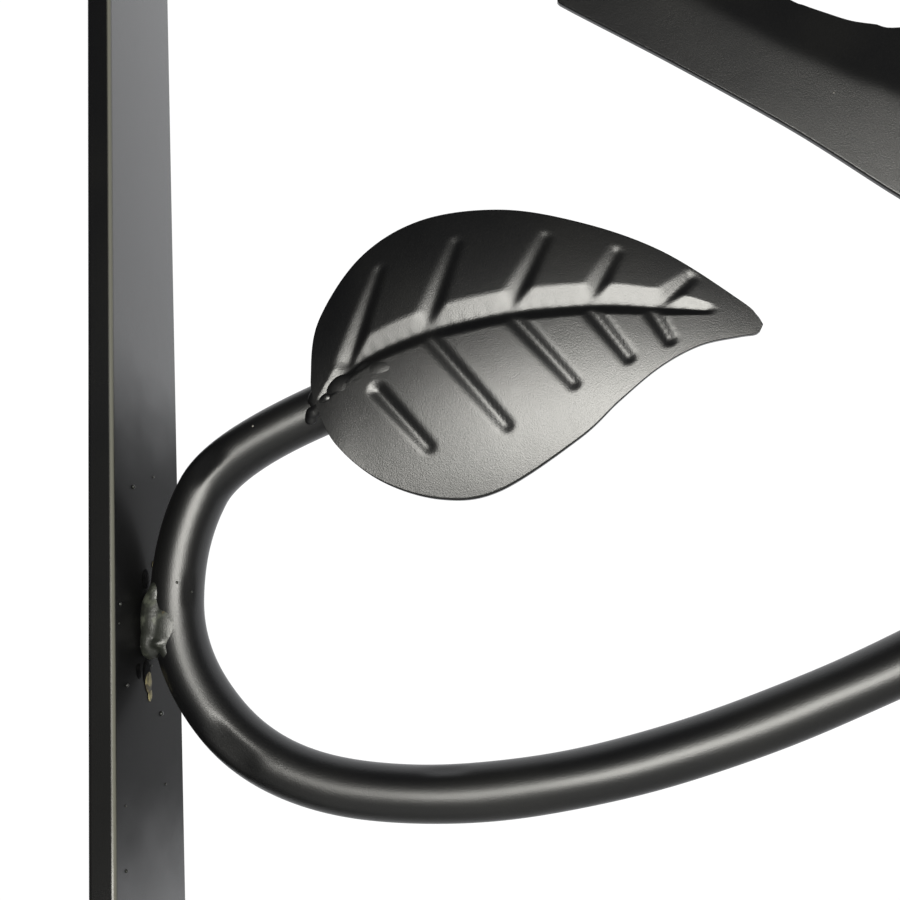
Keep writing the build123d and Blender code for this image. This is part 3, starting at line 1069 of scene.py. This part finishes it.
@dataclass
class PanelWelds:
    """The welds of both side panels: at the stiles, leaves, birds, junctions, rails and stem ends."""

    contacts: list[Contact]
    shop: Shop
    lumps: WeldLumps = field(default_factory=WeldLumps)
    plain: WeldLumps = field(default_factory=lambda: WeldLumps(voxel=0.45))
    bead_rounds: int = 10
    bead_eggs: tuple[tuple[Point3, Point3], ...] = (
        ((2.3, 0.5, 2.4), (3.1, 6.6, 2.8)), ((4.9, -0.8, 3.0), (3.4, 5.6, 2.3)),
        ((1.4, -3.3, 2.5), (2.3, 3.4, 2.5)), ((2.8, 5.6, 3.2), (1.7, 2.4, 1.5)),
        ((5.0, -5.2, 3.8), (1.4, 1.7, 1.1)), ((3.6, -3.8, 4.7), (1.4, 0.8, 0.8)),
    )

    def stile_bead(self) -> Shape:
        """Bead in the notch between a branch and its stile, on both faces of the panel."""
        near = self.lumps.mound(self.bead_eggs, self.bead_rounds)
        far = near.moved(lambda points: points * (1.0, -1.0, -1.0))
        return joined([near, far])

    def leaf_bead(self) -> Shape:
        """Bead between the branch's end and its leaf, ground down where it runs out along the midrib."""
        seam = [(34.4, 36.0, 4.4), (36.0, 37.6, 5.4), (38.2, 39.0, 6.0)]
        smear = [(38.0, 39.0, 5.6), (43.0, 40.8, 6.4), (50.0, 43.2, 7.1)]
        return joined([
            self.lumps.run(seam, (1.4, 1.3, 0.8), 5, 6, 2), self.lumps.run(smear, (3.8, 2.6, 0.7), 9, 16, 0),
        ])

    def junction_bead(self) -> Shape:
        """Beads either side of a branch where it meets the stem."""
        seam = [(203.0, 33.0, 3.0), (209.0, 41.0, 4.4), (214.5, 48.5, 4.6)]
        above = self.plain.run(seam, (2.2, 2.6, 2.0), 7)
        below = above.moved(lambda points: points * (1.0, 1.0, -1.0))
        return joined([above, below])

    def bird_bead(self) -> Shape:
        """Bead between the stem and a bird's back."""
        seam = [(222.0, 60.0, 5.0), (225.0, 63.0, 6.6), (228.0, 66.5, 5.6)]
        return self.plain.run(seam, (2.4, 2.4, 1.6), 4)

    def build(self) -> None:
        """Makes each side's welds, those of the leaves as a coated piece of their own."""
        beads = [self.stile_bead(), self.junction_bead()]
        leaf, bird = self.leaf_bead(), self.bird_bead()
        rail = self.plain.run([(1.1, 0.0, -12.0), (1.1, 0.0, 0.0), (1.1, 0.0, 12.0)], (1.7, 1.6, 2.0), 12)
        stem_ring = self.plain.ring(6.4, 1.9)
        for side, mine in by_side(self.contacts).items():
            perches = [contact for contact in mine if contact.number in BIRD_LEVELS]
            parts = [at_each(mine, *beads), at_each(perches, bird)]
            parts += self._rails(mine[0], rail) + self._stem_ends(mine[0], stem_ring)
            welds = make_piece(f"{side}_welds", joined(parts), self.shop.weld)
            leaf_seams = make_piece(f"{side}_leaf_seams", at_each(mine, leaf), self.shop.sheet)
            for piece in (welds, leaf_seams):
                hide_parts(f"{side}_weld_beads")

    @staticmethod
    def _rails(contact: Contact, bead: Shape) -> list[Shape]:
        """Beads under both ends of both rails."""
        found = []
        for rail in ("bottom_rail", "top_rail"):
            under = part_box(f"{contact.side_name}_{rail}")[0].z / MM
            for end in (-1, 1):
                corner = Contact(0, contact.side, end, contact.panel_x, contact.face_y, under - 1.0)
                found.append(bead.moved(corner.placed))
        return found

    @staticmethod
    def _stem_ends(contact: Contact, ring: Shape) -> list[Shape]:
        """Beads round the stem's two ends."""
        stem = bpy.data.objects[f"{contact.side_name}_vine_stem"].data
        points = np.array([vertex.co[:] for vertex in stem.vertices]) / MM
        found = []
        for level, turned in ((points[:, 2].min(), 1.0), (points[:, 2].max(), -1.0)):
            centre = points[np.abs(points[:, 2] - level) < 0.01].mean(axis=0)
            found.append(ring.moved(lambda p, c=centre, t=turned: p * (1.0, 1.0, t) + c))
        return found


@dataclass
class WeldSpatter:
    """Drops of weld metal, flux stain, and black patches of painted shade round each stile bead."""

    contacts: list[Contact]
    shop: Shop
    seed: int = 21
    face_drops: int = 16
    rod_drops: int = 5
    rod_radius: float = 5.0
    stains: tuple[Four, ...] = ((0.13, -10.6, 1.2, 2.0), (0.12, -13.0, 0.6, 1.2), (0.10, 11.6, -1.8, 0.7))
    # Black patches of painted shade in the bead's undercuts: away, up, off and size of each.
    undercut_shade: tuple[Four, ...] = ((0.05, 8.6, 1.6, 1.9), (0.05, -8.9, 1.8, 2.4), (0.05, -8.6, 5.0, 1.4))

    @staticmethod
    def patches(places: Sequence[Four]) -> Shape:
        """Thin round patches on the stile's face: away, up, off and size of each."""
        return joined(egg(at, (0.14, size, size * 0.7), 10, 18) for *at, size in places)

    def drops(self, contact: Contact) -> Shape:
        """Drops stuck to the stile's face and the rod at one contact.

        Args:
            contact: Where they are; each has drops of its own.

        Returns:
            The drops, in panel places.
        """
        draw = np.random.default_rng(self.seed + contact.number * 2 + contact.side)
        found = []
        for _ in range(self.face_drops):
            size = draw.uniform(0.16, 0.5)
            at = np.array([size * 0.2, draw.normal(-4.0, 24.0), draw.uniform(-13.0, 13.5)])
            found.append(egg(at, (size * 0.8, size, size), 8, 12))
        for _ in range(self.rod_drops):
            size = draw.uniform(0.14, 0.3)
            turn = draw.uniform(0.2, 1.4)
            away, off = 5.4 + self.rod_radius * math.cos(turn), self.rod_radius * math.sin(turn)
            at = np.array([away, draw.uniform(-9.0, 9.0), off])
            found.append(egg(at, (size, size, size), 8, 12))
        return joined(found)

    def build(self) -> None:
        """Makes the drops, stains and painted shade of both sides."""
        stains, undercut_shade = self.patches(self.stains), self.patches(self.undercut_shade)
        for side, mine in by_side(self.contacts).items():
            drops = joined(at_each([contact], self.drops(contact)) for contact in mine)
            make_piece(f"{side}_weld_drops", drops, self.shop.weld)
            make_piece(f"{side}_weld_stains", at_each(mine, stains), self.shop.stain)
            # Painted shade: black patches above and below each bead.
            make_piece(f"{side}_painted_undercut_shade", at_each(mine, undercut_shade), self.shop.undercut_shade)


@dataclass
class RungWelds:
    """Beads round both ends of every rung."""

    shop: Shop
    lumps: WeldLumps = field(default_factory=lambda: WeldLumps(seed=19, voxel=0.45))

    def build(self) -> None:
        """Makes the beads in place of their CAD node."""
        ring = self.lumps.ring(5.4, 1.8)
        parts = []
        for name in sorted(frame["nodes"]):
            if name.startswith("rung_") and name[5:].isdigit():
                low, high = (np.array(corner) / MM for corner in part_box(name))
                middle = (low + high) / 2
                for y, turned in ((low[1], 1.0), (high[1], -1.0)):
                    end = np.array([middle[0], y, middle[2]])
                    parts.append(ring.moved(lambda p, c=end, t=turned: p[:, (0, 2, 1)] * (1.0, t, 1.0) + c))
        piece = make_piece("rung_welds", joined(parts), self.shop.weld)
        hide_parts("rung_weld_beads")


# ---------- The whole arch ----------

@dataclass
class SidePanels:
    """Branches, leaves and birds of both sides."""

    contacts: list[Contact]
    shop: Shop

    def build(self) -> None:
        """Makes each branch with what it carries."""
        for contact in self.contacts:
            HookedBranch(contact, self.shop.rod).build()
            PressedLeaf(contact, self.shop.sheet).build()
            if contact.number in BIRD_LEVELS:
                PressedBird(contact, self.shop.sheet, level=BIRD_LEVELS[contact.number]).build()


@dataclass
class BarAndRodFrame:
    """Everything that keeps its CAD shape: stiles, rails, stems, hoops, rungs, plates and fasteners."""

    shop: Shop

    def dress(self) -> None:
        """Gives each CAD node the finish of its slot."""
        for part in frame["record"]["subparts"]:
            mesh = frame["nodes"][part["node"]].data
            material = self.shop.for_slot(part["material_slot"])
            mesh.materials.clear()
            mesh.materials.append(material)
            log.info("%s: %s", part["node"], material.name)


@dataclass
class Studio:
    """Floor, lights and camera, their places in metres and the camera's in panel millimetres."""

    eye: Contact
    shop: Shop
    along: float = 81.7
    up: float = -10.5
    off: float = 183.9
    turned: float = 6.77
    raised: float = 11.73
    rolled: float = -4.38
    lens: float = 40.02
    tint: Colour = (1.0, 0.985, 0.925)
    sky: Colour = (0.97, 0.98, 1.0)
    backdrop: float = 1.05
    dim: float = 0.03
    bright: float = 1.15
    floor_radius: float = 4.2

    def camera(self) -> None:
        """Close view of one branch from inside the passage."""
        data = bpy.data.cameras.new("camera")
        data.lens = self.lens
        data.clip_start = 0.01
        camera = in_scene("camera", data)
        place = self.eye.placed(np.array([[self.along, self.up, self.off]]))[0] * MM
        turned, raised = math.radians(self.turned), math.radians(self.raised)
        flat = math.cos(raised)
        look = Vector((-flat * math.cos(turned), -flat * math.sin(turned), math.sin(raised)))
        roll = Quaternion((0.0, 0.0, 1.0), math.radians(self.rolled))
        camera.rotation_mode = "QUATERNION"
        camera.rotation_quaternion = look.to_track_quat("-Z", "Y") @ roll
        camera.location = Vector(place)
        bpy.context.scene.camera = camera

    def board(self, name: str, at: Point3, aim: Point3, size: Point, power: float) -> None:
        """A soft light that the camera doesn't see.

        Args:
            name: Its name.
            at: Where its middle is.
            aim: Where it points.
            size: Its width and height.
            power: Its watts.
        """
        data = bpy.data.lights.new(name, "AREA")
        data.shape = "RECTANGLE"
        data.size, data.size_y = size
        data.energy = power
        data.color = self.tint
        lamp = in_scene(name, data)
        lamp.location = at
        lamp.rotation_mode = "QUATERNION"
        lamp.rotation_quaternion = (Vector(aim) - Vector(at)).to_track_quat("-Z", "Y")
        lamp.visible_camera = False

    def lights(self) -> None:
        """A board in the passage for each side panel, and one outside on the right."""
        for side in (-1, 1):
            aim = (side * 0.6, -0.145, 1.26)
            self.board(f"level_board_{side + 1}", (-side * 0.41, 0.04, 1.17), aim, (0.76, 0.42), 24.0)
        self.board("outer_board", (2.4, 0.4, 1.0), (0.6, 0.0, 1.2), (1.6, 1.2), 18.0)

    def surroundings(self) -> None:
        """White to the eye, and in reflections graded from bright on the left to dim on the right."""
        world = bpy.data.worlds.new("surroundings")
        bpy.context.scene.world = world
        recipe = Recipe(world)
        way = recipe.output(recipe.node("ShaderNodeTexCoord", {}, {}), "Generated")
        grade = recipe.node("ShaderNodeMapRange", {"interpolation_type": "SMOOTHSTEP"}, {
            "Value": recipe.axes(way)[0], "From Min": 0.15, "From Max": -0.35,
            "To Min": self.dim, "To Max": self.bright,
        })
        glow = {"Color": (*self.sky, 1.0), "Strength": recipe.output(grade)}
        lit = recipe.node("ShaderNodeBackground", {}, glow)
        white = {"Color": (1.0, 1.0, 1.0, 1.0), "Strength": self.backdrop}
        seen = recipe.node("ShaderNodeBackground", {}, white)
        ray = recipe.output(recipe.node("ShaderNodeLightPath", {}, {}), "Is Camera Ray")
        inputs = {0: ray, 1: recipe.output(lit), 2: recipe.output(seen)}
        either = recipe.node("ShaderNodeMixShader", {}, inputs)
        recipe.node("ShaderNodeOutputWorld", {}, {0: recipe.output(either)})

    def floor(self) -> None:
        """Round pale floor under the arch."""
        mesh = bpy.data.meshes.new("floor")
        turns = np.linspace(0.0, 2 * math.pi, 96, endpoint=False)
        reach = self.floor_radius
        points = [(reach * math.cos(turn), reach * math.sin(turn), 0.0) for turn in turns]
        mesh.from_pydata(points, [], [tuple(range(len(points)))])
        mesh.materials.append(self.shop.floor)
        in_scene("floor", mesh)

    def build(self) -> None:
        """Sets the stage."""
        bpy.context.scene.view_settings.view_transform = "Standard"
        self.camera()
        self.lights()
        self.surroundings()
        self.floor()


def main() -> None:
    """Builds the arch's looks in order and writes how large they are."""
    logging.basicConfig(level=logging.INFO, format="%(message)s")
    shop = Shop()
    contacts = Layout().contacts()
    seen = next(contact for contact in contacts if contact.side < 0 and contact.number == 5)
    Studio(seen, shop).build()
    BarAndRodFrame(shop).dress()
    SidePanels(contacts, shop).build()
    PanelWelds(contacts, shop).build()
    WeldSpatter(contacts, shop).build()
    RungWelds(shop).build()


if __name__ == "__main__":
    main()
